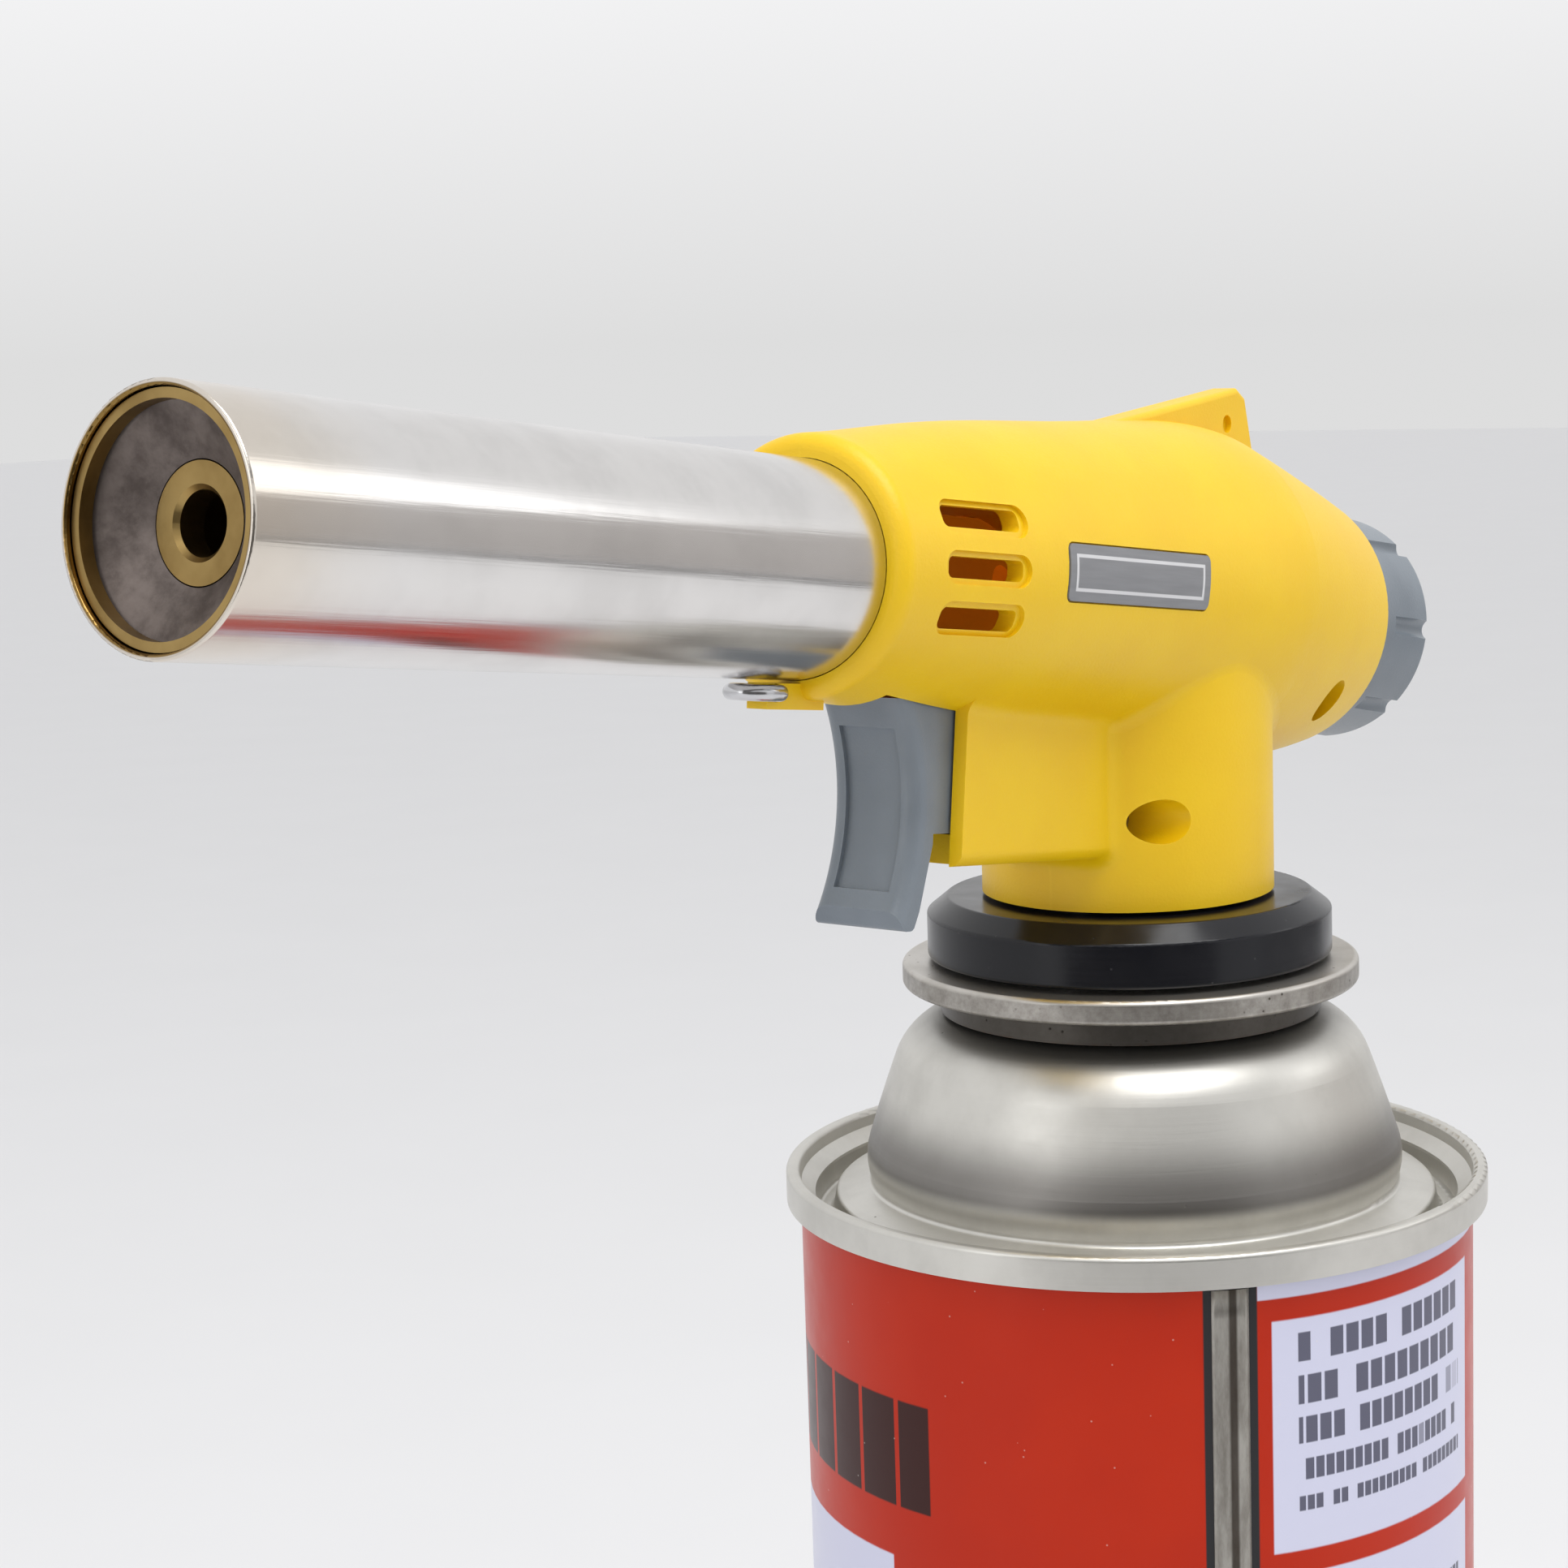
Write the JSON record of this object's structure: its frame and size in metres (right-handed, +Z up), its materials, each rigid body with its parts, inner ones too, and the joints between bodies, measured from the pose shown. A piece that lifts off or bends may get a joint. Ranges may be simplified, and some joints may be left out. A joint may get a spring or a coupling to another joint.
{
  "type": "gas cartridge blow torch",
  "caption": "Hand blow torch on an upright gas cartridge: raised steel flame tube, moulded head with squeeze igniter trigger and rear flame knob.",
  "frame": {"origin": "centre of the bottom of the cartridge's lower seam, on the cartridge axis", "axes": "+Z up the cartridge axis, flame tube points towards -X and is raised, flame knob towards +X, housing parting plane at Y=0"},
  "size_m": [0.1695, 0.0688, 0.2448],
  "materials": {
    "can_paint": "gloss print over tinplate",
    "tinplate": "satin",
    "cup_steel": "satin, speckled",
    "lock_steel": "satin",
    "white_plastic": "moulded",
    "clear_plastic": "moulded",
    "rubber": "matte",
    "spring_steel": "bright",
    "black_plastic": "gloss",
    "brass": "turned",
    "zinc": "cast",
    "polished_steel": "polished",
    "heated_steel": "heat-stained",
    "ceramic": "glazed ceramic",
    "red_lead": "insulated lead",
    "yellow_plastic": "fine satin texture",
    "grey_plastic": "fine satin texture",
    "label_grey": "satin"
  },
  "bodies": {
    "cartridge": {"can_body": "can_paint", "can_dome": "tinplate", "can_base": "tinplate", "mounting_cup": "cup_steel", "valve_housing": "white_plastic", "stem_gasket": "rubber", "stem_spring": "spring_steel", "dip_tube": "clear_plastic"},
    "stem": {"valve_stem": "white_plastic"},
    "head": {"lock_plate": "lock_steel", "lock_screws": "spring_steel", "base_ring": "black_plastic", "inlet_probe": "brass", "inlet_seal": "rubber", "valve_body": "zinc", "spindle_seal": "rubber", "gland_nut": "brass", "gas_jet": "brass", "air_mixer": "brass", "burner_tube": "heated_steel", "flame_tube": "polished_steel", "flame_holder": "brass", "flame_dish": "heated_steel", "heat_ring": "brass", "piezo_body": "white_plastic", "electrode_insulator": "ceramic", "electrode_rod": "spring_steel", "ignition_lead": "red_lead", "housing_left": "yellow_plastic", "housing_right": "yellow_plastic", "housing_screws": "spring_steel", "label_plate": "label_grey"},
    "trigger": {"trigger": "grey_plastic", "piezo_plunger": "white_plastic"},
    "knob": {"control_knob": "grey_plastic", "knob_clip": "spring_steel"},
    "needle": {"needle_spindle": "brass"},
    "hang_ring": {"hang_ring": "polished_steel"}
  },
  "joints": [
    {"name": "stem_press", "type": "slide", "parent": "cartridge", "child": "stem", "axis": [0, 0, -1], "range_m": [0, 0.0008], "deforming": ["stem_spring"]},
    {"name": "lock_twist", "type": "hinge", "parent": "cartridge", "child": "head", "pos_m": [0, 0, 0.185], "axis": [0, 0, 1], "range_deg": [0, 40]},
    {"name": "trigger_pull", "type": "slide", "parent": "head", "child": "trigger", "axis": [0.9921, 0, -0.1253], "range_m": [0, 0.005]},
    {"name": "knob_turn", "type": "hinge", "parent": "head", "child": "knob", "pos_m": [0, 0, 0.2203], "axis": [0.9863, 0, -0.165], "range_deg": [0, 540]},
    {"name": "needle_lift", "type": "slide", "parent": "knob", "child": "needle", "axis": [0.9863, 0, -0.165], "range_m": [0, 0.0012]},
    {"name": "ring_swing", "type": "hinge", "parent": "head", "child": "hang_ring", "pos_m": [-0.05754, 0, 0.21724], "axis": [0, -1, 0], "range_deg": [0, 110]}
  ],
  "couplings": [
    {"joint": "needle_lift", "follows": "knob_turn", "m_per_rad": 0.00012732}
  ]
}
